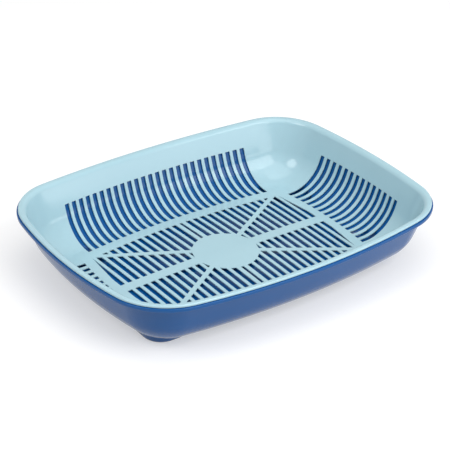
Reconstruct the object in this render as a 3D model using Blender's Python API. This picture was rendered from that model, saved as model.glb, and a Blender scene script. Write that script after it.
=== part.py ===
# Mesh litter tray: an outer tray, and a sieve insert that drops into it and hangs by its rim.
# Lengths are in metres. X runs along the tray, Y across it and Z up from the surface it stands on.
# Both pieces are thin mouldings that draw straight up out of their moulds, so each is the space
# between two height surfaces over one plan, and every slot is a straight upright cut.

import bpy
from math import acos, atan2, ceil, cos, hypot, pi, radians, sin, sqrt, tan
from mathutils import Vector
from mathutils.geometry import delaunay_2d_cdt

# Rim outline, seen from above, over both pieces
LENGTH = 0.370
WIDTH = 0.280
LONG_SIDE_RADIUS = 0.865
SHORT_SIDE_RADIUS = 0.517
CORNER_RADIUS = 0.0606
LEAST_CORNER_RADIUS = 0.0015

# Heights above the surface that the feet stand on
RIM_HEIGHT = 0.0623
CORNER_RISE = 0.0020
FLOOR_LOW = 0.0075
FLOOR_CROWN = 0.0030

# Walls of the two mouldings
INSERT_WALL = 0.0012
TRAY_WALL = 0.0015
WALL_TOP_INSET = 0.00665
BEND_RADIUS = 0.038
BEND_INSET = 0.0532
NEST_CLEARANCE = 0.0008

# Flange of the insert
FLANGE_WALL = 0.0016
FLANGE_EDGE_HEIGHT = 0.0024
FLANGE_EDGE_WIDTH = 0.0018
EDGE_ROUNDING = 0.0006

# Rim bead of the outer tray, under the flange
SEAT_CLEARANCE = 0.0003
BEAD_HEIGHT = 0.0037
BEAD_WALL = 0.0016
BEAD_EDGE_WIDTH = 0.0020
BEAD_PROUD = 0.0014

# Moulded feet, one under each corner
FOOT_X = 0.1210
FOOT_Y = 0.0624
FOOT_STRAIGHT_X = 0.0036
FOOT_STRAIGHT_Y = 0.0080
FOOT_RADIUS = 0.0220
FOOT_TAPER = 0.0038
FOOT_RECESS_INSET = 0.0008

# Slots of the insert
SLOT_WIDTH = 0.0050
NARROW_SLOT_WIDTH = 0.0030
FLOOR_PITCH = 0.00856
END_WALL_PITCH = 0.00883
WALL_SLOT_TOP_INSET = 0.0138
WALL_SLOT_LOW_INSET = 0.0572
GRID_SIDE_INSET = 0.0688
GRID_END_INSET = 0.0665
SPINE_WIDTH = 0.0112
BRACE_WIDTH = 0.0048
BRACE_ANGLE = radians(31)
DISC_RADIUS = 0.033
LEAST_SLOT_LENGTH = 0.0025
LEAST_SLOT_WIDTH = 0.0008

# Facets
SHORT_SIDE_STEPS = 3
CORNER_STEPS = 7
LONG_SIDE_STEPS = 5
BEND_STEPS = 4
FOOT_STEPS = 4
MERGE = 0.000001
CLOSING_STEPS = 20
SHARP_ANGLE = radians(25)

HALF_LENGTH = LENGTH / 2
HALF_WIDTH = WIDTH / 2
LONG_CENTRE = Vector((0, HALF_WIDTH - LONG_SIDE_RADIUS))
SHORT_CENTRE = Vector((HALF_LENGTH - SHORT_SIDE_RADIUS, 0))
BEND_HEIGHT = FLOOR_LOW + BEND_RADIUS
INSERT_OUTER_RADIUS = BEND_RADIUS + INSERT_WALL
TRAY_INNER_RADIUS = INSERT_OUTER_RADIUS + NEST_CLEARANCE
TRAY_OUTER_RADIUS = TRAY_INNER_RADIUS + TRAY_WALL
BEAD_TOP = RIM_HEIGHT - FLANGE_EDGE_HEIGHT - SEAT_CLEARANCE

# Both walls lean alike. The insert's comes down from the top of the flange on to its bend.
WALL_RUN = BEND_INSET - WALL_TOP_INSET
WALL_CLIMB = RIM_HEIGHT - BEND_HEIGHT
WALL_LEAN = acos(BEND_RADIUS / hypot(WALL_RUN, WALL_CLIMB)) - atan2(WALL_CLIMB, WALL_RUN)


# Plan outline


def corner_arc(inset):
    """Centre and radius of the corner arc that touches both side arcs, all drawn in by inset."""
    radius = max(CORNER_RADIUS - inset, LEAST_CORNER_RADIUS)
    reach_long = LONG_SIDE_RADIUS - inset - radius
    reach_short = SHORT_SIDE_RADIUS - inset - radius
    between = SHORT_CENTRE - LONG_CENTRE
    span = between.length
    along = (reach_long ** 2 - reach_short ** 2 + span ** 2) / (2 * span)
    across = sqrt(reach_long ** 2 - along ** 2)
    forward = between / span
    centre = LONG_CENTRE + forward * along + Vector((forward.y, -forward.x)) * across
    return centre, radius


def corner_angles(centre):
    """Angles at which a corner arc about this centre begins and ends."""
    first = atan2(centre.y, centre.x - SHORT_CENTRE.x)
    second = atan2(centre.y - LONG_CENTRE.y, centre.x)
    return first, second


def arc(centre, radius, start, end, steps):
    """Points from start to end, without the last one."""
    angles = [start + (end - start) * step / steps for step in range(steps)]
    return [centre + radius * Vector((cos(angle), sin(angle))) for angle in angles]


def outline(inset):
    """The rim outline drawn in by inset, as a closed loop of points."""
    centre, radius = corner_arc(inset)
    first, second = corner_angles(centre)
    quarter = arc(SHORT_CENTRE, SHORT_SIDE_RADIUS - inset, 0, first, SHORT_SIDE_STEPS)
    quarter += arc(centre, radius, first, second, CORNER_STEPS)
    quarter += arc(LONG_CENTRE, LONG_SIDE_RADIUS - inset, second, pi / 2, LONG_SIDE_STEPS)
    top = Vector((0, HALF_WIDTH - inset))
    half = quarter + [top] + [Vector((-p.x, p.y)) for p in reversed(quarter)]
    return half + [Vector((p.x, -p.y)) for p in reversed(half[1:-1])]


def inset_at(x, y):
    """How far a point of the plan lies inside the rim outline."""
    x, y = abs(x), abs(y)
    centre, radius = corner_arc(0)
    point = Vector((x, y))
    past_long = (x - centre.x) * (centre.y - LONG_CENTRE.y) > (y - centre.y) * centre.x
    past_short = (y - centre.y) * (centre.x - SHORT_CENTRE.x) > (x - centre.x) * centre.y
    if past_long and past_short:
        return radius - (point - centre).length
    from_long = LONG_SIDE_RADIUS - (point - LONG_CENTRE).length
    from_short = SHORT_SIDE_RADIUS - (point - SHORT_CENTRE).length
    return min(from_long, from_short)


def side_y(x, inset):
    """Half width of the outline drawn in by inset, at x along the tray."""
    return LONG_CENTRE.y + sqrt((LONG_SIDE_RADIUS - inset) ** 2 - x ** 2)


def end_x(y, inset):
    """Half length of the outline drawn in by inset, at y across the tray."""
    return SHORT_CENTRE.x + sqrt((SHORT_SIDE_RADIUS - inset) ** 2 - y ** 2)


# Height surfaces


def spread(x, y):
    """How far a point lies out towards a corner: none at the middles of the sides."""
    return (x / HALF_LENGTH) ** 2 + (y / HALF_WIDTH) ** 2 - 1


def corner_tip():
    """Middle of the corner arc of the rim."""
    centre, radius = corner_arc(0)
    first, second = corner_angles(centre)
    middle = (first + second) / 2
    return centre + radius * Vector((cos(middle), sin(middle)))


def rise(x, y, height):
    """Climb of the mouldings towards the corners of the rim, none at the floor."""
    tip = corner_tip()
    share = spread(x, y) / spread(tip.x, tip.y)
    height_share = max(0, height - FLOOR_LOW) / (RIM_HEIGHT - FLOOR_LOW)
    return CORNER_RISE * share * height_share


def bend(inset, radius):
    """Height of a dished section: level, then a bend about one centre, then a leaning wall."""
    run = BEND_INSET - inset
    tangent = radius * cos(WALL_LEAN)
    if run <= 0:
        return BEND_HEIGHT - radius
    if run <= tangent:
        return BEND_HEIGHT - sqrt(radius ** 2 - run ** 2)
    return BEND_HEIGHT - radius * sin(WALL_LEAN) + (run - tangent) / tan(WALL_LEAN)


def wall_inset(height, radius):
    """Inset at which the leaning wall on a bend of this radius reaches a height."""
    climb = height - BEND_HEIGHT + radius * sin(WALL_LEAN)
    return BEND_INSET - radius * cos(WALL_LEAN) - climb * tan(WALL_LEAN)


def crown(x, y):
    """Swell of the insert's floor: full in the middle, none along the lowest line of the bend."""
    across_share = y / side_y(x, BEND_INSET)
    along_share = x / end_x(y, BEND_INSET)
    if abs(across_share) >= 1 or abs(along_share) >= 1:
        return 0
    return FLOOR_CROWN * (1 - across_share ** 2) * (1 - along_share ** 2)


def insert_top(x, y):
    inset = inset_at(x, y)
    edge = RIM_HEIGHT - max(0, EDGE_ROUNDING - inset)
    height = min(edge, bend(inset, BEND_RADIUS) + crown(x, y))
    return height + rise(x, y, height)


def insert_bottom(x, y):
    inset = inset_at(x, y)
    under = RIM_HEIGHT - FLANGE_WALL
    if inset < FLANGE_EDGE_WIDTH + MERGE:
        under = RIM_HEIGHT - FLANGE_EDGE_HEIGHT
    height = min(under, bend(inset, INSERT_OUTER_RADIUS) + crown(x, y))
    return height + rise(x, y, height)


def foot_share(x, y, radius):
    """One inside a foot with corners of this radius, falling to none across its tapered side."""
    past_x = max(0, abs(abs(x) - FOOT_X) - FOOT_STRAIGHT_X)
    past_y = max(0, abs(abs(y) - FOOT_Y) - FOOT_STRAIGHT_Y)
    return min(1, max(0, (radius - hypot(past_x, past_y)) / FOOT_TAPER))


def tray_top(x, y):
    inset = inset_at(x, y)
    edge = BEAD_TOP - max(0, EDGE_ROUNDING - BEAD_PROUD - inset)
    height = min(edge, bend(inset, TRAY_INNER_RADIUS))
    share = foot_share(x, y, FOOT_RADIUS - FOOT_RECESS_INSET)
    height = height + (TRAY_WALL - height) * share
    return height + rise(x, y, height)


def tray_bottom(x, y):
    inset = inset_at(x, y)
    under = BEAD_TOP - BEAD_WALL
    if inset + BEAD_PROUD < BEAD_EDGE_WIDTH + MERGE:
        under = BEAD_TOP - BEAD_HEIGHT + max(0, EDGE_ROUNDING - BEAD_PROUD - inset)
    height = min(under, bend(inset, TRAY_OUTER_RADIUS))
    height = height * (1 - foot_share(x, y, FOOT_RADIUS))
    return height + rise(x, y, height)


# Slots


def slot_offsets(pitch, reach):
    """Centre lines of slots, evenly spaced on both sides of the middle, within reach."""
    count = int(reach / pitch)
    return [(number + 0.5) * pitch for number in range(-count, count)]


def turned_left(loop):
    """The loop, run so that its inside lies on its left."""
    area = sum(a.x * b.y - b.x * a.y for a, b in zip(loop, loop[1:] + loop[:1]))
    return loop if area > 0 else loop[::-1]


def with_mirrored(slots, along, across):
    """The slots and their mirror images."""
    mirrored = [[Vector((p.x * along, p.y * across)) for p in slot] for slot in slots]
    return [turned_left(slot) for slot in slots + mirrored]


def side_wall_slots():
    """Slots of the two long walls, which line up with those of the floor."""
    slots = []
    half = SLOT_WIDTH / 2
    for middle in slot_offsets(FLOOR_PITCH, corner_arc(0)[0].x):
        left, right = middle - half, middle + half
        low = [Vector((x, side_y(x, WALL_SLOT_LOW_INSET))) for x in (left, right)]
        high = [Vector((x, side_y(x, WALL_SLOT_TOP_INSET))) for x in (right, left)]
        slots.append(low + high)
    return with_mirrored(slots, 1, -1)


def end_wall_slots():
    """Slots of the two short walls."""
    slots = []
    half = SLOT_WIDTH / 2
    for middle in slot_offsets(END_WALL_PITCH, corner_arc(0)[0].y):
        near, far = middle - half, middle + half
        low = [Vector((end_x(y, WALL_SLOT_LOW_INSET), y)) for y in (near, far)]
        high = [Vector((end_x(y, WALL_SLOT_TOP_INSET), y)) for y in (far, near)]
        slots.append(low + high)
    return with_mirrored(slots, -1, 1)


def brace_y(x, side):
    """Edge of the brace that runs from the disc out to a corner, side 1 or -1."""
    half = BRACE_WIDTH / 2 / cos(BRACE_ANGLE)
    return tan(BRACE_ANGLE) * abs(x) + side * half


def slot_start(x):
    """Where the slots of one half of the floor begin: at the spine, or at the disc."""
    disc = sqrt(max(0, DISC_RADIUS ** 2 - x ** 2))
    return max(SPINE_WIDTH / 2, disc)


def closing_x(x, end, gap):
    """Where a gap that is open at x closes on the way to end, or end if it stays open."""
    if gap(end) >= 0:
        return end
    for _ in range(CLOSING_STEPS):
        middle = (x + end) / 2
        x, end = (middle, end) if gap(middle) > 0 else (x, middle)
    return x


def floor_slot(left, right, lower, upper):
    """Slot between two upright lines, cut off by the bowed end of the grid, or None."""
    def low_edge(x):
        return max(lower(x), slot_start(x))

    def gap(x):
        return min(upper(x), side_y(x, GRID_SIDE_INSET)) - low_edge(x)

    short, long = sorted((left, right), key=gap)
    if gap(long) < LEAST_SLOT_LENGTH:
        return None
    if gap(short) < LEAST_SLOT_LENGTH:
        tip = closing_x(long, short, gap)
        if abs(tip - long) < LEAST_SLOT_WIDTH or abs(long) > end_x(0, GRID_END_INSET):
            return None
        corners = [(long, low_edge(long)), (tip, low_edge(tip)), (long, low_edge(long) + gap(long))]
        return [Vector(corner) for corner in corners]
    corners = []
    for x in (left, right):
        low, high = low_edge(x), low_edge(x) + gap(x)
        middle = (low + high) / 2
        for y in (low, middle, high):
            edge = end_x(y, GRID_END_INSET)
            corners.append(Vector((min(edge, max(-edge, x)), y)))
    near, far = corners[:3], corners[3:]
    if min((b - a).length for a, b in zip(near, far)) < LEAST_SLOT_WIDTH:
        return None
    return near + far[::-1]


def floor_slots():
    """Slots of the floor, each parted by a brace, in both halves."""
    slots = []
    reach = end_x(0, GRID_END_INSET)
    count = ceil(reach / FLOOR_PITCH)
    for number in range(-count, count):
        half = (NARROW_SLOT_WIDTH if number == -1 else SLOT_WIDTH) / 2
        middle = (number + 0.5) * FLOOR_PITCH
        left, right = middle - half, middle + half
        inner = floor_slot(left, right, slot_start, lambda x: brace_y(x, -1))
        outer = floor_slot(left, right, lambda x: brace_y(x, 1), lambda x: side_y(x, GRID_SIDE_INSET))
        slots += [slot for slot in (inner, outer) if slot]
    return with_mirrored(slots, 1, -1)


# Solids


def solid(name, loops, holes, top, bottom, material):
    """Closed solid between two height surfaces, over the plan in the first loop less the holes."""
    points, edges, faces = [], [], []
    for loop in loops:
        first = len(points)
        points += loop
        edges += [(first + n, first + (n + 1) % len(loop)) for n in range(len(loop))]
    for hole in holes:
        faces.append(list(range(len(points), len(points) + len(hole))))
        points += hole
    plan, _, triangles, _, _, origin = delaunay_2d_cdt(points, edges, faces, 0, MERGE)
    kept = [tri for tri, found in zip(triangles, origin) if not found]
    used = sorted({corner for tri in kept for corner in tri})
    index = {corner: place for place, corner in enumerate(used)}
    kept = [[index[corner] for corner in tri] for tri in kept]
    count = len(used)
    upper = [(plan[c].x, plan[c].y, top(plan[c].x, plan[c].y)) for c in used]
    lower = [(plan[c].x, plan[c].y, bottom(plan[c].x, plan[c].y)) for c in used]
    sides = {(tri[n], tri[(n + 1) % 3]) for tri in kept for n in range(3)}
    rims = sorted((a, b) for a, b in sides if (b, a) not in sides)
    body = [tuple(tri) for tri in kept]
    body += [(tri[0] + count, tri[2] + count, tri[1] + count) for tri in kept]
    body += [(a, a + count, b + count, b) for a, b in rims]
    mesh = bpy.data.meshes.new(name)
    mesh.from_pydata(upper + lower, [], body)
    mesh.materials.append(material)
    mesh.shade_smooth()
    mesh.set_sharp_from_angle(angle=SHARP_ANGLE)
    piece = bpy.data.objects.new(name, mesh)
    bpy.context.scene.collection.objects.link(piece)
    return piece


def bend_insets(radius):
    """Insets that part a bend into even steps, with the lines where it begins and ends."""
    swing = pi / 2 - WALL_LEAN
    steps = [sin(swing * step / BEND_STEPS) for step in range(BEND_STEPS + 1)]
    return [BEND_INSET - radius * step for step in steps]


def foot_loop(centre, radius):
    """Edge of a foot: a rectangle with rounded corners."""
    points = []
    for corner, (along, across) in enumerate(((1, 1), (-1, 1), (-1, -1), (1, -1))):
        middle = centre + Vector((along * FOOT_STRAIGHT_X, across * FOOT_STRAIGHT_Y))
        turns = [(corner + step / FOOT_STEPS) * pi / 2 for step in range(FOOT_STEPS + 1)]
        points += [middle + radius * Vector((cos(turn), sin(turn))) for turn in turns]
    return points


def foot_loops():
    """Edges of each foot: its side and its flat below, and the same of the recess above."""
    loops = []
    for radius in (FOOT_RADIUS, FOOT_RADIUS - FOOT_TAPER):
        for depth in (0, FOOT_RECESS_INSET):
            for across in (1, -1):
                for along in (1, -1):
                    centre = Vector((along * FOOT_X, across * FOOT_Y))
                    loops.append(foot_loop(centre, radius - depth))
    return loops


def sieve_insert():
    insets = [0, EDGE_ROUNDING, FLANGE_EDGE_WIDTH, FLANGE_EDGE_WIDTH + EDGE_ROUNDING]
    insets += [wall_inset(RIM_HEIGHT, INSERT_OUTER_RADIUS), WALL_TOP_INSET]
    insets += bend_insets(BEND_RADIUS)
    loops = [outline(inset) for inset in insets]
    holes = side_wall_slots() + end_wall_slots() + floor_slots()
    return solid("sieve_insert", loops, holes, insert_top, insert_bottom, pale_plastic())


def outer_tray():
    depths = [0, EDGE_ROUNDING, BEAD_EDGE_WIDTH, BEAD_EDGE_WIDTH + EDGE_ROUNDING]
    insets = [depth - BEAD_PROUD for depth in depths]
    insets += [wall_inset(BEAD_TOP - BEAD_WALL, TRAY_OUTER_RADIUS)]
    insets += [wall_inset(BEAD_TOP, TRAY_INNER_RADIUS)]
    insets += bend_insets(BEND_RADIUS)
    loops = [outline(inset) for inset in insets] + foot_loops()
    return solid("outer_tray", loops, [], tray_top, tray_bottom, deep_plastic())


# Materials


def plastic(name, colour, roughness):
    material = bpy.data.materials.new(name)
    material.use_nodes = True
    shader = material.node_tree.nodes["Principled BSDF"]
    shader.inputs["Base Color"].default_value = (*colour, 1)
    shader.inputs["Roughness"].default_value = roughness
    shader.inputs["Metallic"].default_value = 0
    return material


def pale_plastic():
    return plastic("pale blue plastic", (0.47, 0.70, 0.77), 0.30)


def deep_plastic():
    return plastic("deep blue plastic", (0.015, 0.085, 0.32), 0.28)


for old in list(bpy.data.objects):
    bpy.data.objects.remove(old)
outer_tray()
sieve_insert()
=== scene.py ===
# %% [markdown]
# # A mesh litter tray
#
# The real thing is two thin plastic mouldings. A pale blue sieve insert, full of slots, hangs by
# its flange on the rim of a deep blue outer tray with four feet. We keep the CAD model as the
# frame, and dress each moulding with a finer surface: soft bends, thin walls, rounded lips
# round every slot, and a plastic that shows how it was made.
#
# Both mouldings draw straight out of their moulds, so nearly all of each is a height over a flat
# plan. That is why most of this lesson is one idea: work out points on a plan with numpy, lift
# them with a formula, and join them with triangles.

import bpy
import numpy as np
from mathutils import Matrix, Vector
from mathutils.geometry import delaunay_2d_cdt


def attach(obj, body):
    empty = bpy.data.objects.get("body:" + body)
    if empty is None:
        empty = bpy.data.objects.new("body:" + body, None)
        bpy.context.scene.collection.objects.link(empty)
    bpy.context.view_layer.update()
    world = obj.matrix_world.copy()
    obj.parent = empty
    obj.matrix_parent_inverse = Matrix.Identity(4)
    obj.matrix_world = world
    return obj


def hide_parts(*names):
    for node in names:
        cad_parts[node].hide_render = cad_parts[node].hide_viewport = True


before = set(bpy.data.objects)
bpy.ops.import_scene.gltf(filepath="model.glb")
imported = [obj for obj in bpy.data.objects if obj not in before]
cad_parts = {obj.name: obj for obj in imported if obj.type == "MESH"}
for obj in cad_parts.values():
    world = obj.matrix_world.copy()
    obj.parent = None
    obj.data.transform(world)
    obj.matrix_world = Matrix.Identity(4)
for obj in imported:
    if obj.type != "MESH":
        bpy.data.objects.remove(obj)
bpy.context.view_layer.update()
print("CAD nodes:", sorted(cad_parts))

# %% [markdown]
# ## The camera
#
# The view is a long lens looking down on one corner. The numbers come from fitting a camera to
# the ends of the slots, so we only write down its place and the three directions of its frame.
# A matrix with right, up and backward as its columns turns the camera without any angles.

# %% Place the camera
camera_data = bpy.data.cameras.new("camera")
camera_data.sensor_width = 36.0
camera_data.lens = 132.47
camera = bpy.data.objects.new("camera", camera_data)
right = Vector((0.80626, -0.59118, 0.02111))
up = Vector((0.27911, 0.41164, 0.86757))
ahead = Vector((0.52158, 0.69358, -0.49689))
turn = Matrix((right, up, -ahead)).transposed()
camera.matrix_world = Matrix.Translation((-0.83504, -1.10854, 0.83297)) @ turn.to_4x4()
bpy.context.scene.collection.objects.link(camera)
bpy.context.scene.camera = camera
print("camera", round(camera.location.length, 3), "m from the middle of the tray's foot plane")

# %% [markdown]
# ## The rim line
#
# Seen from above, the rim is a rectangle whose sides bow outwards and whose corners are round.
# Real rims like this are drawn with arcs that touch, so we do the same: a long arc for each side,
# a shorter one for each end, and a corner arc that touches both. One quarter is enough, because
# the rest is its mirror image. With every point we keep its outward direction: a line drawn in
# from the rim is then just the rim points moved back along those directions.

# %% Arcs of the rim
HALF_LENGTH, HALF_WIDTH = 0.185, 0.140
SIDE_RADIUS, END_RADIUS, CORNER_RADIUS = 0.865, 0.517, 0.0606
side_centre = np.array([0.0, HALF_WIDTH - SIDE_RADIUS])
end_centre = np.array([HALF_LENGTH - END_RADIUS, 0.0])


def find_corner():
    """Centre of the corner arc: where a circle of the side radius less the corner radius, round
    the side arc's centre, meets a circle of the end radius less the corner radius, round the
    end arc's centre."""
    side_reach, end_reach = SIDE_RADIUS - CORNER_RADIUS, END_RADIUS - CORNER_RADIUS
    between = end_centre - side_centre
    span = np.hypot(*between)
    along = (side_reach ** 2 - end_reach ** 2 + span ** 2) / (2 * span)
    across = np.sqrt(side_reach ** 2 - along ** 2)
    forward = between / span
    return side_centre + forward * along + np.array([forward[1], -forward[0]]) * across


corner = find_corner()
print("corner arc centre in mm:", (1000 * corner).round(2))

# %% Points round the rim


def arc(centre, radius, start, end, steps):
    """Points centre + radius (cos a, sin a), with their outward directions (cos a, sin a), for
    angles a in even steps from start up to end, which is left out."""
    angle = start + (end - start) * np.arange(steps) / steps
    out = np.stack([np.cos(angle), np.sin(angle)], 1)
    return centre + radius * out, out


def mirrored_round(quarter, top):
    """A whole loop from its first quarter and the point at its top: mirrored across the middle
    of the length, and then across the middle of the width."""
    half = np.concatenate([quarter, top, quarter[::-1] * [-1, 1]])
    return np.concatenate([half, half[-2:0:-1] * [1, -1]])


first_turn = np.arctan2(corner[1], corner[0] - end_centre[0])
second_turn = np.arctan2(corner[1] - side_centre[1], corner[0])
parts = [
    arc(end_centre, END_RADIUS, 0, first_turn, 12),
    arc(corner, CORNER_RADIUS, first_turn, second_turn, 20),
    arc(side_centre, SIDE_RADIUS, second_turn, np.pi / 2, 18),
]
quarter_points, quarter_out = (np.concatenate([part[n] for part in parts]) for n in (0, 1))
rim_points = mirrored_round(quarter_points, np.array([[0, HALF_WIDTH]]))
rim_out = mirrored_round(quarter_out, np.array([[0, 1]]))
print(len(rim_points), "points round the rim")

# %% [markdown]
# ## How far in from the rim
#
# Every height on the tray depends first on one number: how far a point lies inside the rim line,
# which we call its inset. Each arc gives its own answer, radius less distance to its centre, and
# the corner's answer holds only between the two lines where the corner arc begins and ends.

# %% Inset of any point


def inset_at(x, y):
    """Arc radius less the distance to the arc's centre. The corner arc rules where the point
    lies past both of its ends, and elsewhere the nearer of the side arc and the end arc."""
    x, y = np.abs(x), np.abs(y)
    from_side = SIDE_RADIUS - np.hypot(x - side_centre[0], y - side_centre[1])
    from_end = END_RADIUS - np.hypot(x - end_centre[0], y - end_centre[1])
    from_corner = CORNER_RADIUS - np.hypot(x - corner[0], y - corner[1])
    past_side = (x - corner[0]) * (corner[1] - side_centre[1]) > (y - corner[1]) * corner[0]
    past_end = (y - corner[1]) * (corner[0] - end_centre[0]) > (x - corner[0]) * corner[1]
    return np.where(past_side & past_end, from_corner, np.minimum(from_side, from_end))


def side_y(x, inset):
    """Half width at x of the rim line drawn in by inset: a circle's height over x."""
    return side_centre[1] + np.sqrt((SIDE_RADIUS - inset) ** 2 - x ** 2)


def end_x(y, inset):
    """Half length at y of the rim line drawn in by inset: a circle's width at y."""
    return end_centre[0] + np.sqrt((END_RADIUS - inset) ** 2 - y ** 2)


print("inset of the middle in mm:", round(1000 * float(inset_at(0.0, 0.0)), 1))

# %% [markdown]
# ## The dished section
#
# Cut the tray anywhere square to its rim and you see the same line: level floor, a generous
# bend, and a straight wall that leans outwards so that the moulding comes off its core. The
# insert and both faces of the outer tray share the bend's centre and only differ in radius.
# That keeps the walls evenly thick, as a moulder wants them.

# %% Section of a wall
BEND_INSET, BEND_RADIUS, FLOOR_LOW = 0.0532, 0.038, 0.0075
BEND_HEIGHT = FLOOR_LOW + BEND_RADIUS
RIM_HEIGHT, WALL_TOP_INSET = 0.0623, 0.00665
INSERT_WALL, TRAY_WALL, NEST_GAP = 0.0012, 0.0015, 0.0008


def touching_lean(run, climb):
    """Lean from upright of a line that comes down over this run and climb and touches the bend's
    circle: the angle whose cosine is radius over distance, less the climb's own angle."""
    return np.arccos(BEND_RADIUS / np.hypot(run, climb)) - np.arctan2(climb, run)


def section(inset, radius):
    """Height over the inset: the bend's circle from its lowest point to where the wall touches
    it, and from there the wall's run divided by the tangent of its lean."""
    run = BEND_INSET - inset
    reach = radius * np.cos(lean)
    bend = BEND_HEIGHT - np.sqrt(radius ** 2 - np.clip(run, 0, reach) ** 2)
    return bend + np.maximum(run - reach, 0) / np.tan(lean)


def wall_inset(height, radius):
    """Inset at which the straight wall reaches a height: the bend's, less the reach of the
    bend, less the climb above the bend times the tangent of the lean."""
    climb = height - BEND_HEIGHT + radius * np.sin(lean)
    return BEND_INSET - radius * np.cos(lean) - climb * np.tan(lean)


lean = touching_lean(BEND_INSET - WALL_TOP_INSET, RIM_HEIGHT - BEND_HEIGHT)
wall_angle = 90 - np.degrees(lean)
half_turn = np.tan(np.radians(wall_angle) / 2)
print("the walls lean", round(np.degrees(lean), 1), "degrees from upright")

# %% [markdown]
# ## Rise and crown
#
# Two gentle warps sit on top of the section. The rim climbs about two millimetres towards the
# corners, which stiffens it. The floor of the insert swells upwards in its middle, so that a
# load of litter does not make it sag. Both are worked out from squares, so they start level
# and make no crease, and the crown's last bit fades out through a soft corner.

# %% Two gentle warps
CORNER_RISE, FLOOR_CROWN, CROWN_FADE, ARC_LIMIT = 0.0020, 0.0030, 0.06, 0.2


def spread(x, y):
    """Square of x over half the length plus square of y over half the width, less one."""
    return (x / HALF_LENGTH) ** 2 + (y / HALF_WIDTH) ** 2 - 1


middle_turn = (first_turn + second_turn) / 2
corner_tip = corner + CORNER_RADIUS * np.array([np.cos(middle_turn), np.sin(middle_turn)])


def rise(x, y, height):
    """Climb towards the corners: the spread, as a share of the corner's, times the height above
    the floor, as a share of the rim's."""
    climb = np.maximum(height - FLOOR_LOW, 0) / (RIM_HEIGHT - FLOOR_LOW)
    return CORNER_RISE * spread(x, y) / spread(*corner_tip) * climb


def fading(value):
    """The value where it is well above none, and none where it is well below: half of the value
    plus the root of its square and a small square."""
    return (value + np.sqrt(value ** 2 + CROWN_FADE ** 2)) / 2


def crown(x, y):
    """Swell of the floor: one less the square of the share across, times one less the square of
    the share along, both measured to the lowest line of the bend. The limit keeps the roots real
    for points far outside the tray."""
    x_near, y_near = (np.clip(value, -ARC_LIMIT, ARC_LIMIT) for value in (x, y))
    across = fading(1 - (y / side_y(x_near, BEND_INSET)) ** 2)
    along = fading(1 - (x / end_x(y_near, BEND_INSET)) ** 2)
    return FLOOR_CROWN * across * along


def insert_height(x, y):
    """Upper face of the insert: its section plus the crown, and the rise on top."""
    height = section(inset_at(x, y), BEND_RADIUS) + crown(x, y)
    return height + rise(x, y, height)


print("middle of the sieve at", round(1000 * float(insert_height(0.0, 0.0)), 2), "mm")

# %% [markdown]
# ## From plan to surface
#
# Three small tools do all the lifting. One gives the point on a surface over each plan point,
# with the direction square to the surface there. One joins plan points with triangles: a
# constrained Delaunay triangulation keeps the loops that we name as edges and leaves the slots
# open. One ties rows of points into a band of quads, and serves for rims and slot sides alike.
#
# We keep the exact directions as the mesh's normals. The shading is then as smooth as the
# formula, however coarse the triangles are.

# %% Tools for surfaces


def lifted(height, plan, step=1e-5):
    """Points (x, y, height) and unit normals (-slope along x, -slope along y, 1), each slope the
    difference of two heights over the distance between them."""
    x, y = plan[..., 0], plan[..., 1]
    along = (height(x + step, y) - height(x - step, y)) / (2 * step)
    across = (height(x, y + step) - height(x, y - step)) / (2 * step)
    normal = np.stack([-along, -across, np.ones_like(x)], -1)
    normal /= np.linalg.norm(normal, axis=-1, keepdims=True)
    return np.stack([x, y, height(x, y)], -1), normal


def triangulated(plan, loops, holes):
    """Triangles, as rows of three point numbers, over all plan points. Loops are rows of point
    numbers that stay edges, and holes are rows of point numbers that stay open."""
    edges = np.concatenate([np.stack([loop, np.roll(loop, -1)], 1) for loop in loops])
    flat = [Vector(point) for point in plan.tolist()]
    found = delaunay_2d_cdt(flat, edges.tolist(), [hole.tolist() for hole in holes], 0, 1e-8)
    source = np.array([numbers[0] for numbers in found[3]])
    kept = [triangle for triangle, hole in zip(found[2], found[5]) if not hole]
    return source[np.array(kept)]


def banded(rows):
    """Quads between each row of point numbers and the next, where a row is a closed loop: this
    point, the same point of the next row, its neighbour there, and the neighbour here."""
    here, there = rows[:-1], rows[1:]
    quads = np.stack([here, there, np.roll(there, -1, -1), np.roll(here, -1, -1)], -1)
    return quads.reshape(-1, 4)


# %% A tool for closed pieces


class Moulding:
    """Collects blocks of points with their normals, and faces as rows of point numbers."""

    def __init__(self):
        self.points, self.normals, self.faces, self.count = [], [], [], 0

    def put(self, points, normals):
        """Adds a block and gives back the numbers of its points, in the block's own shape."""
        numbers = self.count + np.arange(points[..., 0].size).reshape(points.shape[:-1])
        self.points.append(points.reshape(-1, 3))
        self.normals.append(np.broadcast_to(normals, points.shape).reshape(-1, 3))
        self.count += numbers.size
        return numbers

    def piece(self, name):
        """Makes the mesh object, with only the points that a face uses."""
        used = np.unique(np.concatenate([faces.ravel() for faces in self.faces]))
        place = np.zeros(self.count, int)
        place[used] = np.arange(len(used))
        faces = [row for block in self.faces for row in place[block].tolist()]
        mesh = bpy.data.meshes.new(name)
        mesh.from_pydata(np.concatenate(self.points)[used].tolist(), [], faces)
        mesh.shade_smooth()
        mesh.normals_split_custom_set_from_vertices(np.concatenate(self.normals)[used])
        piece = bpy.data.objects.new(name, mesh)
        bpy.context.scene.collection.objects.link(piece)
        return piece


def report(piece):
    """Prints how many triangles a piece has, and how many edges do not join two faces."""
    mesh = piece.data
    numbers = np.zeros(len(mesh.loops), int)
    mesh.loops.foreach_get("edge_index", numbers)
    joined = np.bincount(numbers, minlength=len(mesh.edges))
    sizes = np.zeros(len(mesh.polygons), int)
    mesh.polygons.foreach_get("loop_total", sizes)
    triangles, opened = int((sizes - 2).sum()), int((joined != 2).sum())
    print(piece.name, triangles, "triangles,", opened, "open edges")


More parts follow.
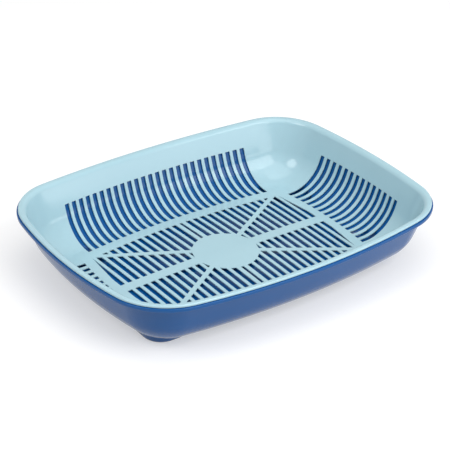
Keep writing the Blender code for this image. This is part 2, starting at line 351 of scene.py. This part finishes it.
# %% [markdown]
# ## Slot outlines
#
# A slot is four straight edges with tiny rounded corners, because the steel that shapes it is
# never perfectly sharp. We describe each one by its left and right sides, from low end to high
# end, as arrays with one row per slot. The corners are then cut by a quadratic curve, all slots
# at once.

# %% Rounded slot outlines
SLOT_CORNER, CUT_SHARE, LIP = 0.0006, 0.45, 0.00025


def rounded(left, right):
    """Closed anticlockwise loops from left and right sides. A corner C between A and B becomes
    (1-t)(1-t) A + 2t(1-t) C + tt B, with A and B pulled in until they are the corner's size from
    C, or on a short edge its cut share."""
    tip = np.stack([left[:, 0], right[:, 0], right[:, -1], left[:, -1]], 1)
    before = np.stack([left[:, 1], left[:, 0], right[:, -2], right[:, -1]], 1)
    after = np.stack([right[:, 0], right[:, 1], left[:, -1], left[:, -2]], 1)

    def near(other):
        gap = other - tip
        size = np.linalg.norm(gap, axis=-1, keepdims=True)
        return (tip + gap * np.minimum(SLOT_CORNER / size, CUT_SHARE))[:, :, None]

    t = (np.arange(4) / 3)[:, None]
    cut = (1 - t) ** 2 * near(before) + 2 * t * (1 - t) * tip[:, :, None] + t ** 2 * near(after)
    up, down = right[:, 1:-1], left[:, -2:0:-1]
    return np.concatenate([cut[:, 0], cut[:, 1], up, cut[:, 2], cut[:, 3], down], 1)


def grown(loop, reach):
    """The loops moved outwards: the step (a, b) between a point's neighbours, turned to (b, -a)
    and brought to the length of the reach."""
    step = np.roll(loop, -1, 1) - np.roll(loop, 1, 1)
    out = np.stack([step[..., 1], -step[..., 0]], -1)
    return loop + reach * out / np.linalg.norm(out, axis=-1, keepdims=True)


# %% [markdown]
# ## Slots of the walls
#
# A wall slot runs from just past the bottom of the bend to well up the straight wall. On a
# steep wall a millimetre on the plan is nearly three on the surface. So these slots are drawn
# on the unrolled wall, across it and up along its section, and rolled back on to the plan.

# %% Wall slots
SLOT_WIDTH, NARROW_SLOT = 0.0050, 0.0030
SIDE_PITCH, END_PITCH = 0.00856, 0.00883
SLOT_LOW_INSET, SLOT_TOP_INSET = 0.0572, 0.0147
level_run = SLOT_LOW_INSET - BEND_INSET
bend_turn = np.pi / 2 - lean
straight_run = (BEND_INSET - BEND_RADIUS * np.sin(bend_turn) - SLOT_TOP_INSET) / np.sin(lean)
slot_run = level_run + BEND_RADIUS * bend_turn + straight_run


def rolled_back(run):
    """Inset of a point that lies this far up the unrolled wall: less by the run itself on the
    level, by radius times the sine of the turn on the bend, by run times sin lean above."""
    turned = np.clip((run - level_run) / BEND_RADIUS, 0, bend_turn)
    above = np.maximum(run - level_run - BEND_RADIUS * bend_turn, 0)
    level = np.minimum(run, level_run)
    return SLOT_LOW_INSET - level - BEND_RADIUS * np.sin(turned) - above * np.sin(lean)


def middles(pitch, reach):
    """Centre lines at every half-odd number of pitches on both sides of the middle."""
    count = int(reach / pitch)
    return (np.arange(-count, count) + 0.5) * pitch


def unrolled_slots(pitch, reach):
    """Loops, across and up the unrolled wall, with points in even steps round the bend."""
    centre = middles(pitch, reach)[:, None]
    turns = level_run + BEND_RADIUS * bend_turn * np.arange(13) / 12
    run = np.concatenate([[0], turns, [slot_run]])[None] + 0 * centre
    left = np.stack([centre - SLOT_WIDTH / 2 + 0 * run, run], -1)
    right = np.stack([centre + SLOT_WIDTH / 2 + 0 * run, run], -1)
    return rounded(left, right)


# %% Roll the wall slots on to the plan


def on_side(loop):
    """Plan points (across, side line at the rolled back inset)."""
    return np.stack([loop[..., 0], side_y(loop[..., 0], rolled_back(loop[..., 1]))], -1)


def on_end(loop):
    """Plan points (end line at the rolled back inset, across)."""
    return np.stack([end_x(loop[..., 0], rolled_back(loop[..., 1])), loop[..., 0]], -1)


def anticlockwise(pair):
    """The loops and their grown copies, run the other way where they enclose a negative area."""
    x, y = pair[0][..., 0], pair[0][..., 1]
    area = (x * np.roll(y, -1, 1) - np.roll(x, -1, 1) * y).sum()
    return [loop[:, ::-1] if area < 0 else loop for loop in pair]


side_loops = unrolled_slots(SIDE_PITCH, corner[0])
end_loops = unrolled_slots(END_PITCH, corner[1])
slot_groups = []
for place, loops, mirror in ((on_side, side_loops, [1, -1]), (on_end, end_loops, [-1, 1])):
    pair = [place(loops), place(grown(loops, LIP))]
    slot_groups.append(anticlockwise(pair))
    slot_groups.append(anticlockwise([loop * mirror for loop in pair]))
print("wall slots:", sum(len(pair[0]) for pair in slot_groups))

# %% [markdown]
# ## Slots of the floor
#
# The floor's slots are upright columns, cut off by a spine down the middle, a plain round disc,
# four slanting braces and a bowed border. Instead of working out every crossing, we look along
# each column at the gap between its lower and its upper bound, and keep the part where the gap
# is open. A column that a brace cuts slantwise then ends in a point, as in the real sieve.

# %% Bounds of the floor slots
SPINE_WIDTH, DISC_RADIUS = 0.0112, 0.033
BRACE_WIDTH, BRACE_ANGLE = 0.0048, np.radians(31)
GRID_SIDE_INSET, GRID_END_INSET = 0.0688, 0.0665
OPEN_GAP, LEAST_LENGTH, LEAST_WIDTH = 0.0004, 0.0022, 0.0006


def brace_y(x, side):
    """Edge of a brace: tangent of its angle times x, and half its width over the cosine."""
    return np.tan(BRACE_ANGLE) * np.abs(x) + side * BRACE_WIDTH / 2 / np.cos(BRACE_ANGLE)


def start_y(x):
    """Where slots begin: past the spine, or past the disc's circle where that is further."""
    return np.maximum(SPINE_WIDTH / 2, np.sqrt(np.maximum(DISC_RADIUS ** 2 - x ** 2, 0)))


def inner_bounds(x):
    """Between the start line and the lower edge of the brace, or the border where that is
    nearer."""
    return start_y(x), np.minimum(brace_y(x, -1), side_y(x, GRID_SIDE_INSET))


def outer_bounds(x):
    """Between the upper edge of the brace, or the start line where that is further, and the
    border."""
    return np.maximum(start_y(x), brace_y(x, 1)), side_y(x, GRID_SIDE_INSET)


grid_reach = end_x(0.0, GRID_END_INSET)
columns = middles(SIDE_PITCH, np.ceil(grid_reach / SIDE_PITCH) * SIDE_PITCH + 1e-6)
widths = np.where(np.isclose(columns, -SIDE_PITCH / 2), NARROW_SLOT, SLOT_WIDTH)
print(len(columns), "columns across the floor,", round(1000 * grid_reach, 1), "mm to each end")

# %% Floor slots


def border_y(x):
    """How far from the spine the bowed end of the grid reaches x: the end arc's height there."""
    radius, along = END_RADIUS - GRID_END_INSET, np.abs(x) - end_centre[0]
    return np.sqrt(np.maximum(radius ** 2 - along ** 2, 0))


def column_slots(bounds):
    """Loops of the slots that one pair of bounds leaves open. Each column is looked at along a
    fine row of places; the first and the last open place are the slot's sides."""
    x = columns[:, None] + widths[:, None] * np.linspace(-0.5, 0.5, 201)
    inside = np.clip(x, -grid_reach, grid_reach)
    low, high = bounds(inside)
    high = np.minimum(high, border_y(inside))
    gap = np.where(np.abs(x) < grid_reach, high - low, -1)
    is_open = gap > OPEN_GAP
    first = np.argmax(is_open, 1)
    last = x.shape[1] - 1 - np.argmax(is_open[:, ::-1], 1)
    rows = np.arange(len(x))
    wide = x[rows, last] - x[rows, first] > LEAST_WIDTH
    kept = is_open.any(1) & wide & (gap.max(1) > LEAST_LENGTH)
    share = np.linspace(0, 1, 9)[None]
    sides = []
    for place in (first, last):
        x_side, y_low, y_high = (a[rows, place][kept, None] for a in (x, low, high))
        y = y_low + (y_high - y_low) * share
        edge = end_x(y, GRID_END_INSET)
        sides.append(np.stack([np.clip(x_side, -edge, edge), y], -1))
    return rounded(*sides)


for bounds in (inner_bounds, outer_bounds):
    loops = column_slots(bounds)
    pair = [loops, grown(loops, LIP)]
    slot_groups.append(anticlockwise(pair))
    slot_groups.append(anticlockwise([loop * [1, -1] for loop in pair]))
print("slots in all:", sum(len(pair[0]) for pair in slot_groups))

# %% [markdown]
# ## Plan of the sieve sheet
#
# Now we gather the plan points of the thin sheet that carries the slots. The grown slot loops
# are its holes. Rings of points follow the bend where there are no slots, which is in the
# corners, and a sparse lattice fills the level border. Points are left out near the slots,
# where the slot loops already give the triangles all the shape they need.

# %% Gather the plan points
SHEET_INSET, SLOT_MARGIN = 0.0125, 0.002
BORDER_BAND, BORDER_PITCH, LATTICE_REACH = (0.0592, 0.0640), 0.006, (0.18, 0.14)
DISC_RINGS, DISC_SPOKES = (0.029, 0.022, 0.014, 0.007), 24
bend_rows = BEND_INSET - BEND_RADIUS * np.sin(bend_turn * np.arange(14) / 13)
wall_rows = np.linspace(SHEET_INSET, bend_rows[-1], 4)
slot_reach = [np.abs(slot_groups[n][1][..., n // 2]).max() + SLOT_MARGIN for n in (0, 2)]


def ring(inset):
    """The rim line drawn in: each rim point less inset times its outward direction."""
    return rim_points - inset * rim_out


def clear_of_wall_slots(plan):
    """Keeps the points beyond the last wall slots, both along and across."""
    past = (np.abs(plan[:, 0]) > slot_reach[0]) & (np.abs(plan[:, 1]) > slot_reach[1])
    return plan[past]


def lattice(pitch, low_inset, high_inset):
    """Points at every pitch along and across, kept where the inset lies between the two."""
    x, y = np.meshgrid(*[np.arange(-reach, reach, pitch) for reach in LATTICE_REACH])
    inset = inset_at(x, y)
    keep = (inset > low_inset) & (inset < high_inset)
    return np.stack([x[keep], y[keep]], 1)


corner_rows = np.concatenate([wall_rows[2:], bend_rows[::-1][1:]])
in_corners = [clear_of_wall_slots(ring(inset)) for inset in corner_rows]
angles = 2 * np.pi * np.arange(DISC_SPOKES) / DISC_SPOKES
spokes = np.stack([np.cos(angles), np.sin(angles)], 1)
on_disc = [radius * spokes for radius in DISC_RINGS]
loose = [*in_corners, lattice(BORDER_PITCH, *BORDER_BAND), *on_disc]
loops = [pair[1].reshape(-1, 2) for pair in slot_groups]
plan = np.concatenate([ring(SHEET_INSET), ring(wall_rows[1]), *loose, *loops])
print(len(plan), "plan points for the sieve sheet")

# %% Number the holes and triangulate
first = len(plan) - sum(len(block) for block in loops)
hole_numbers = []
for pair in slot_groups:
    size = pair[1][..., 0].size
    hole_numbers.append(first + np.arange(size).reshape(pair[1].shape[:2]))
    first += size
around = np.arange(len(rim_points))
holes = [row for block in hole_numbers for row in block]
sieve_triangles = triangulated(plan, [around, around + len(around)], holes)
print(len(sieve_triangles), "triangles on one face of the sieve sheet")

# %% [markdown]
# ## Two faces and the slot sides
#
# The underside is the upper face moved back along its own normals by the wall's thickness, so
# the wall is evenly thick wherever it bends. The side of a slot drops from one face to the
# other, with a rounded lip at both. For a lip we need two directions: the sheet's normal, and
# the way from the slot into the plastic. A quarter turn between them draws the lip.

# %% Faces of the sieve sheet
insert = Moulding()
upper, upper_normals = lifted(insert_height, plan)
upper_numbers = insert.put(upper, upper_normals)
lower_numbers = insert.put(upper - INSERT_WALL * upper_normals, -upper_normals)
insert.faces += [upper_numbers[sieve_triangles], lower_numbers[sieve_triangles][:, ::-1]]

# %% Sides of the slots


def slot_sides(true_loop, numbers):
    """Bands between the two faces. With n the sheet's normal and d the way into the plastic, a
    lip's point is centre + lip (n cos a - d sin a), for a from none to a right angle above,
    and the same with n turned round below."""
    edge, normal = lifted(insert_height, plan[numbers])
    inner = lifted(insert_height, true_loop)[0]
    inward = edge - inner
    inward -= (inward * normal).sum(-1, keepdims=True) * normal
    inward /= np.linalg.norm(inward, axis=-1, keepdims=True)
    rows = [upper_numbers[numbers]]
    for side, depth in ((1, LIP), (-1, INSERT_WALL - LIP)):
        for angle in (np.pi / 4, np.pi / 2)[::side]:
            way = side * normal * np.cos(angle) - inward * np.sin(angle)
            rows.append(insert.put(edge - depth * normal + LIP * way, way))
    rows.append(lower_numbers[numbers])
    return banded(np.stack(rows[::-1]))


for pair, numbers in zip(slot_groups, hole_numbers):
    insert.faces.append(slot_sides(pair[0], numbers))
print(insert.count, "points so far")

# %% [markdown]
# ## The flange
#
# The insert's wall turns over into a flat flange, and the flange ends in a deeper edge that
# sits on the tray. This is one profile carried round the rim. We write it as points with the
# direction that each one faces, counted from straight up towards the inside of the tray, so
# round parts are easy: a point is the centre plus the radius times that direction.

# %% Tools for profiles


def facing(angle):
    """(inwards, upwards) parts of a direction: sine and cosine of its angle from upright."""
    return np.stack([np.sin(angle), np.cos(angle)], -1)


def rounded_part(centre, radius, start, end, steps):
    """Points centre + radius (sin a, cos a) and angles a from start to end. A negative radius
    gives a hollow, seen from its inside."""
    angle = np.radians(np.linspace(start, end, steps + 1))
    radii = np.linspace(*np.broadcast_to(radius, 2), steps + 1)[:, None]
    return np.asarray(centre) + radii * facing(angle), angle


def straight_part(points, angle):
    """Points of a flat that all face one way."""
    return np.array(points), np.full(len(points), np.radians(angle))


def carried_round(moulding, parts, outer_numbers, under_numbers):
    """Bands along the profile: each of its points (inset, height) goes to the rim points less
    inset times their outward directions, at the height plus the rise there. The first and last
    rows are points that the sheets already have."""
    profile, angle = (np.concatenate([part[n] for part in parts]) for n in (0, 1))
    flat = rim_points[None] - profile[:, None, :1] * rim_out[None]
    height = profile[:, 1:] + rise(flat[..., 0], flat[..., 1], profile[:, 1:])
    inwards, upwards = facing(angle)[:, None, :1], facing(angle)[:, None, 1:]
    normal = np.concatenate([-inwards * rim_out[None], upwards + 0 * flat[..., :1]], -1)
    rows = moulding.put(np.concatenate([flat, height[..., None]], -1), normal)
    rows = np.concatenate([outer_numbers[None], rows, under_numbers[None]])
    return banded(rows)


# %% Profile of the insert's flange
FLANGE_WALL, EDGE_HEIGHT, EDGE_WIDTH = 0.0016, 0.0024, 0.0018
TURN_RADIUS, TOP_ROUND, LOW_ROUND, HOLLOW = 0.0056, 0.0013, 0.0005, 0.0003
turn_inset = WALL_TOP_INSET - TURN_RADIUS * half_turn
turn_centre = (turn_inset, RIM_HEIGHT - TURN_RADIUS)
edge_low, flange_low = RIM_HEIGHT - EDGE_HEIGHT, RIM_HEIGHT - FLANGE_WALL
wall_insets = np.array([0.0112, 0.0098, 0.0084])
wall_points = np.stack([wall_insets, section(wall_insets, BEND_RADIUS)], 1)
under_points = wall_points[::-1] - INSERT_WALL * facing(np.radians(wall_angle))
turned_under = (TURN_RADIUS - FLANGE_WALL, TURN_RADIUS - INSERT_WALL)
under_turn = rounded_part(turn_centre, turned_under, 0, wall_angle, 7)
flange = [
    straight_part(wall_points, wall_angle),
    rounded_part(turn_centre, TURN_RADIUS, wall_angle, 0, 9),
    rounded_part((TOP_ROUND, RIM_HEIGHT - TOP_ROUND), TOP_ROUND, 0, -90, 4),
    rounded_part((LOW_ROUND, edge_low + LOW_ROUND), LOW_ROUND, -90, -180, 3),
    rounded_part((EDGE_WIDTH - HOLLOW, edge_low + HOLLOW), HOLLOW, -180, -270, 2),
    rounded_part((EDGE_WIDTH + HOLLOW, flange_low - HOLLOW), -HOLLOW, -270, -180, 2),
    (under_turn[0], under_turn[1] - np.pi),
    straight_part(under_points, wall_angle - 180),
]
insert.faces.append(carried_round(insert, flange, upper_numbers[around], lower_numbers[around]))
sieve_piece = insert.piece("sieve_insert_moulding")
report(sieve_piece)

# %% [markdown]
# ## The outer tray
#
# The outer tray follows the insert a little way below it. Its walls use the same section with
# larger radii. Its feet are bosses pushed out of the floor: a share that is one inside a rounded
# rectangle and none outside brings the height down to the ground. The share climbs along a
# straight slope with a soft start and a softer end, which makes the smooth, boat-shaped foot.

# %% Feet
FOOT_PLACE = np.array([0.1210, 0.0624])
FOOT_STRAIGHT = np.array([0.0036, 0.0080])
FOOT_RADIUS, FOOT_TAPER, FOOT_RECESS = 0.0220, 0.0038, 0.0008
SOFT_START, SOFT_END = 0.25, 0.45


def eased(value, soft):
    """None below, the value itself above, and a parabola that joins the two between -soft and
    soft: the square of value plus soft, over four times soft."""
    return np.clip(value + soft, 0, 2 * soft) ** 2 / (4 * soft) + np.maximum(value - soft, 0)


def foot_share(x, y, radius):
    """Depth inside the foot's outline, as a share of its taper, eased at none and at one."""
    past = np.abs(np.abs(np.stack([x, y], -1)) - FOOT_PLACE) - FOOT_STRAIGHT
    past = np.maximum(past, 0)
    depth = (radius - np.hypot(past[..., 0], past[..., 1])) / FOOT_TAPER
    return eased(depth, SOFT_START) - eased(depth - 1, SOFT_END)


# %% Faces of the outer tray
BEAD_HEIGHT, SEAT_GAP = 0.0037, 0.0003
BEAD_TOP = RIM_HEIGHT - EDGE_HEIGHT - SEAT_GAP
INNER_RADIUS = BEND_RADIUS + INSERT_WALL + NEST_GAP
OUTER_RADIUS = INNER_RADIUS + TRAY_WALL


def tray_inner(x, y):
    """Section with the inner radius, brought down to the wall's thickness inside each foot."""
    height = section(inset_at(x, y), INNER_RADIUS)
    height = height + (TRAY_WALL - height) * foot_share(x, y, FOOT_RADIUS - FOOT_RECESS)
    return height + rise(x, y, height)


def tray_outer(x, y):
    """Section with the outer radius, times one less the foot's share."""
    height = section(inset_at(x, y), OUTER_RADIUS)
    height = height * (1 - foot_share(x, y, FOOT_RADIUS))
    return height + rise(x, y, height)


print("gap between the mouldings in mm:", 1000 * (INNER_RADIUS - BEND_RADIUS - INSERT_WALL))

# %% [markdown]
# The plan of the tray has rings down the wall and round the bend, a lattice on the floor, and
# close loops round each foot, where the surface changes fast. Ring and lattice points that fall
# inside a foot are dropped, so that the foot's own loops shape it alone.

# %% Plan of the outer tray


def foot_loops(along, across, radii):
    """Rounded rectangles round one foot: a corner's centre plus radius (cos a, sin a), with ten
    steps in each corner."""
    angle = np.pi / 2 * (np.arange(4)[:, None] + np.arange(11) / 10)
    sign = np.array([[1, 1], [-1, 1], [-1, -1], [1, -1]])
    centre = FOOT_PLACE * [along, across] + sign * FOOT_STRAIGHT
    turned = np.stack([np.cos(angle), np.sin(angle)], -1)
    loops = centre[None, :, None] + np.array(radii)[:, None, None, None] * turned[None]
    return loops.reshape(-1, 2)


def outside_feet(plan, margin):
    """Keeps the points whose distance to a foot's inner rectangle is more than its radius plus
    the margin."""
    past = np.maximum(np.abs(np.abs(plan) - FOOT_PLACE) - FOOT_STRAIGHT, 0)
    return plan[np.hypot(past[:, 0], past[:, 1]) > FOOT_RADIUS + margin]


FLOOR_PITCH, LEVEL_INSET, RING_MARGIN, FLOOR_MARGIN = 0.007, 0.0565, 0.0022, 0.003
turn_steps = bend_turn * np.arange(16) / 15
tray_rows = BEND_INSET - (INNER_RADIUS + OUTER_RADIUS) / 2 * np.sin(turn_steps)
tray_rings = [outside_feet(ring(inset), RING_MARGIN) for inset in tray_rows]
depths = [-1.2, -0.3, 0.2, 0.7, 1.3, 2.0, 2.7, 3.3, 3.9, 4.6, 5.4, 7.5, 11, 15, 19]
depths = np.array(depths) / 1000
feet = [foot_loops(a, b, FOOT_RADIUS - depths) for a in (1, -1) for b in (1, -1)]
floor_points = outside_feet(lattice(FLOOR_PITCH, LEVEL_INSET, np.inf), FLOOR_MARGIN)
tray_plan = np.concatenate([ring(SHEET_INSET), *tray_rings, *feet, floor_points])
tray_triangles = triangulated(tray_plan, [around], [])
print(len(tray_plan), "plan points,", len(tray_triangles), "triangles on one face of the tray")

# %% [markdown]
# The tray's rim turns over like the flange above it: a thin ledge, and a lip that hangs from it.
# The lip stands a little further out than the flange, so a blue line shows under the pale one.
# Its lower corner is rounded off, which catches a thin line of light all along the side. Under
# the ledge a hollow runs round the tray, because thick plastic would sink in as it cools.

# %% Faces of the tray's own sheet
tray = Moulding()
inner, inner_normals = lifted(tray_inner, tray_plan)
outer, outer_normals = lifted(tray_outer, tray_plan)
inner_numbers = tray.put(inner, inner_normals)
outer_numbers = tray.put(outer, -outer_normals)
tray.faces += [inner_numbers[tray_triangles], outer_numbers[tray_triangles][:, ::-1]]

# %% Profile of the tray's rim
BEAD_PROUD, BEAD_WALL, LIP_WIDTH = 0.0014, 0.0016, 0.0020
BEAD_ROUND, LIP_ROUND, LIP_INNER_ROUND, LEDGE_HOLLOW = 0.0008, 0.0010, 0.0005, 0.0006
bead_low, ledge_low = BEAD_TOP - BEAD_HEIGHT, BEAD_TOP - BEAD_WALL
ledge_turn = wall_inset(BEAD_TOP, INNER_RADIUS) - BEAD_ROUND * half_turn
ledge_root = wall_inset(ledge_low, OUTER_RADIUS) - LEDGE_HOLLOW * half_turn
hollow_top = ledge_low - LEDGE_HOLLOW
lip_inner = LIP_WIDTH - BEAD_PROUD
lip_corner = (lip_inner - LIP_INNER_ROUND, bead_low + LIP_INNER_ROUND)
down_insets = np.array([0.0058, 0.0080, 0.0102])
down_points = np.stack([down_insets, section(down_insets, OUTER_RADIUS)], 1)
up_insets = np.array([0.0105, 0.0085, 0.0068])
up_points = np.stack([up_insets, section(up_insets, INNER_RADIUS)], 1)
bead = [
    straight_part(up_points, wall_angle),
    rounded_part((ledge_turn, BEAD_TOP - BEAD_ROUND), BEAD_ROUND, wall_angle, 0, 5),
    rounded_part((BEAD_ROUND - BEAD_PROUD, BEAD_TOP - BEAD_ROUND), BEAD_ROUND, 0, -90, 4),
    rounded_part((LIP_ROUND - BEAD_PROUD, bead_low + LIP_ROUND), LIP_ROUND, -90, -180, 4),
    rounded_part(lip_corner, LIP_INNER_ROUND, -180, -270, 3),
    rounded_part((lip_inner + LEDGE_HOLLOW, hollow_top), -LEDGE_HOLLOW, -270, -180, 3),
    rounded_part((ledge_root, hollow_top), -LEDGE_HOLLOW, -180, wall_angle - 180, 4),
    straight_part(down_points, wall_angle - 180),
]
tray.faces.append(carried_round(tray, bead, inner_numbers[around], outer_numbers[around]))
tray_piece = tray.piece("outer_tray_moulding")
report(tray_piece)

# %% [markdown]
# ## Moulded plastic
#
# Both mouldings are a glossy household plastic. Close up it is never one flat colour: pigment
# streaks a little where it flowed, the surface waves faintly from uneven cooling, and wear
# leaves fine scuffs that are duller than the rest. Each of these is a noise pattern on Object
# coordinates, so it stays on the plastic from every side. Coarse noise shifts the colour, finer
# noise the roughness, and two more drive the bump.

# %% A plastic with pigment, ripple and scuffs
RIPPLE, RIPPLE_SCALE, GRAIN, GRAIN_SCALE = 0.00002, 55, 0.00001, 1400
FLOW_SCALE, SCUFF_SCALE, SCUFF_TURN = (9, 22, 14), (60, 900, 300), 0.5


def node(tree, kind, place, **settings):
    """Adds a node and sets inputs by name."""
    made = tree.nodes.new(kind)
    made.location = place
    for name, value in settings.items():
        made.inputs[name.replace("_", " ")].default_value = value
    return made


def noise(tree, source, place, scale, detail):
    """Noise on the given coordinates: a pattern that repeats about once in one over scale."""
    made = node(tree, "ShaderNodeTexNoise", place, Scale=scale, Detail=detail, Roughness=0.55)
    tree.links.new(source, made.inputs["Vector"])
    return made.outputs["Fac"]


def ranged(tree, source, place, low, high, start=0.3, end=0.7):
    """Stretches a value from start..end to low..high, and stops at both."""
    made = node(tree, "ShaderNodeMapRange", place)
    for name, value in zip(("From Min", "From Max", "To Min", "To Max"), (start, end, low, high)):
        made.inputs[name].default_value = value
    tree.links.new(source, made.inputs["Value"])
    return made.outputs["Result"]


def moulded_plastic(name, dark, light, roughness, index):
    """Principled plastic: colour between dark and light by a streaky noise, roughness from just
    below its value up to the scuffs', a bump of broad ripple and fine grain, and the index of
    refraction that sets how much it reflects."""
    material = bpy.data.materials.new(name)
    material.use_nodes = True
    tree = material.node_tree
    shader = tree.nodes["Principled BSDF"]
    place = node(tree, "ShaderNodeTexCoord", (-1400, 0)).outputs["Object"]

    flow = node(tree, "ShaderNodeMapping", (-1200, 300), Scale=FLOW_SCALE)
    tree.links.new(place, flow.inputs["Vector"])
    streaks = noise(tree, flow.outputs["Vector"], (-1000, 300), 1.0, 3)
    mix = node(tree, "ShaderNodeMix", (-500, 300))
    mix.data_type = "RGBA"
    mix.inputs[6].default_value = (*dark, 1)
    mix.inputs[7].default_value = (*light, 1)
    tree.links.new(ranged(tree, streaks, (-750, 300), 0, 1), mix.inputs[0])
    tree.links.new(mix.outputs[2], shader.inputs["Base Color"])

    scratch = node(tree, "ShaderNodeMapping", (-1200, 0), Scale=SCUFF_SCALE)
    scratch.inputs["Rotation"].default_value = (0, 0, SCUFF_TURN)
    tree.links.new(place, scratch.inputs["Vector"])
    scuffs = ranged(tree, noise(tree, scratch.outputs["Vector"], (-1000, 0), 1, 2), (-750, 0),
                    roughness - 0.01, roughness + 0.04, 0.45, 0.80)
    tree.links.new(scuffs, shader.inputs["Roughness"])

    broad = noise(tree, place, (-1000, -300), RIPPLE_SCALE, 2)
    grain = noise(tree, place, (-1000, -550), GRAIN_SCALE, 2)
    ripple_bump = node(tree, "ShaderNodeBump", (-500, -300), Strength=1.0, Distance=RIPPLE)
    grain_bump = node(tree, "ShaderNodeBump", (-300, -300), Strength=0.6, Distance=GRAIN)
    tree.links.new(broad, ripple_bump.inputs["Height"])
    tree.links.new(grain, grain_bump.inputs["Height"])
    tree.links.new(ripple_bump.outputs["Normal"], grain_bump.inputs["Normal"])
    tree.links.new(grain_bump.outputs["Normal"], shader.inputs["Normal"])
    shader.inputs["IOR"].default_value = index
    return material


# %% [markdown]
# The insert is a pale blue, with much white pigment and a clear gloss. The tray is a deep blue
# with hardly any red in it, so all the red that it shows is gloss. Its skin is a touch rougher
# and reflects less, which keeps the blue deep where it faces a white floor.

# %% Pale and deep blue
pale_range = (0.37, 0.565, 0.635), (0.39, 0.585, 0.655)
deep_range = (0.001, 0.077, 0.265), (0.002, 0.083, 0.285)
pale = moulded_plastic("moulded pale blue", *pale_range, 0.12, 1.5)
deep = moulded_plastic("moulded deep blue", *deep_range, 0.13, 1.36)
for piece, material in ((sieve_piece, pale), (tray_piece, deep)):
    piece.data.materials.append(material)
print("materials:", [material.name for material in (pale, deep)])

# %% Hang the pieces on the frame
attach(sieve_piece, "insert")
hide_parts("sieve_insert")
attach(tray_piece, "tray")
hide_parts("outer_tray")

# %% [markdown]
# ## The floor
#
# The tray stands on a plain white sweep. The floor's paint alone would look grey under lamps
# that are kept low for the plastic, so the floor gets a little light of its own where it is seen
# directly, in a reflection or through glass. It still keeps the tray's soft shadow.

# %% Light of its own


def seen_directly(tree, strength):
    """Strength times the largest of three answers, each one or none: whether the ray comes from
    the camera, from a reflection, or through glass."""
    light_path = tree.nodes.new("ShaderNodeLightPath")
    seen = light_path.outputs["Is Camera Ray"]
    for name in ("Is Glossy Ray", "Is Transmission Ray"):
        larger = tree.nodes.new("ShaderNodeMath")
        larger.operation = "MAXIMUM"
        tree.links.new(seen, larger.inputs[0])
        tree.links.new(light_path.outputs[name], larger.inputs[1])
        seen = larger.outputs[0]
    times = tree.nodes.new("ShaderNodeMath")
    times.operation = "MULTIPLY"
    tree.links.new(seen, times.inputs[0])
    times.inputs[1].default_value = strength
    return times.outputs[0]


# %% Floor
SWEEP_REACH, SWEEP_WHITE, SWEEP_GLOW = 6.0, 0.62, 0.42
floor_corners = [(-1, -1), (1, -1), (1, 1), (-1, 1)]
sweep_points = [(SWEEP_REACH * x, SWEEP_REACH * y, 0) for x, y in floor_corners]
floor_mesh = bpy.data.meshes.new("floor")
floor_mesh.from_pydata(sweep_points, [], [(0, 1, 2, 3)])
floor = bpy.data.objects.new("floor", floor_mesh)
bpy.context.scene.collection.objects.link(floor)

floor_look = bpy.data.materials.new("white_floor")
floor_look.use_nodes = True
floor_tree = floor_look.node_tree
floor_tree.nodes.clear()
paint = node(floor_tree, "ShaderNodeBsdfDiffuse", (-300, 100), Color=(*[SWEEP_WHITE] * 3, 1))
glow = node(floor_tree, "ShaderNodeEmission", (-300, -100), Color=(1, 1, 1, 1))
both = floor_tree.nodes.new("ShaderNodeAddShader")
output = floor_tree.nodes.new("ShaderNodeOutputMaterial")
floor_tree.links.new(seen_directly(floor_tree, SWEEP_GLOW), glow.inputs["Strength"])
floor_tree.links.new(paint.outputs[0], both.inputs[0])
floor_tree.links.new(glow.outputs[0], both.inputs[1])
floor_tree.links.new(both.outputs[0], output.inputs["Surface"])
floor_mesh.materials.append(floor_look)

# %% [markdown]
# ## Light
#
# Glossy plastic shows its lamps. On the real tray a broad, low window of light fills the far
# wall and stops short in the middle of the far corner. Beside that edge lie the soft square of a
# higher box and the round spot of a small lamp on the left. A wide box overhead and a pale room
# fill in the rest. We place each lamp by its compass angle from the length of the tray, its lift
# above the floor and its distance, always facing the tray.

# %% The room
ROOM_LIGHT, ROOM_SEEN = 0.45, 0.10
world = bpy.data.worlds.new("studio")
world.use_nodes = True
bpy.context.scene.world = world
world_tree = world.node_tree
background = world_tree.nodes["Background"]
background.inputs["Color"].default_value = (1, 1, 1, 1)
plus = world_tree.nodes.new("ShaderNodeMath")
plus.inputs[1].default_value = ROOM_LIGHT
world_tree.links.new(seen_directly(world_tree, ROOM_SEEN), plus.inputs[0])
world_tree.links.new(plus.outputs[0], background.inputs["Strength"])

# %% Lamps


def softbox(name, turn, lift, away, shape, size, power):
    """A lamp of this shape and size at away (cos lift cos turn, cos lift sin turn, sin lift),
    with its front towards the tray."""
    turn, lift = np.radians([turn, lift])
    flat = np.cos(lift)
    place = away * Vector((flat * np.cos(turn), flat * np.sin(turn), np.sin(lift)))
    lamp = bpy.data.lights.new(name, "AREA")
    lamp.shape, lamp.energy = shape, power
    lamp.size, lamp.size_y = size
    made = bpy.data.objects.new(name, lamp)
    made.location = place
    made.rotation_mode = "QUATERNION"
    made.rotation_quaternion = (-place).to_track_quat("-Z", "Y")
    bpy.context.scene.collection.objects.link(made)
    print(name, "at", [round(c, 2) for c in place])


softbox("top box", 270, 80, 2.0, "RECTANGLE", (2.0, 2.0), 17)
softbox("front box", 283, 42, 1.7, "RECTANGLE", (1.3, 0.9), 12.5)
softbox("low window", 290, 9, 1.6, "RECTANGLE", (2.4, 0.45), 7)
softbox("left lamp", 180, 46, 1.8, "DISK", (0.85, 0.85), 7.5)
bpy.context.scene.view_settings.view_transform = "Standard"
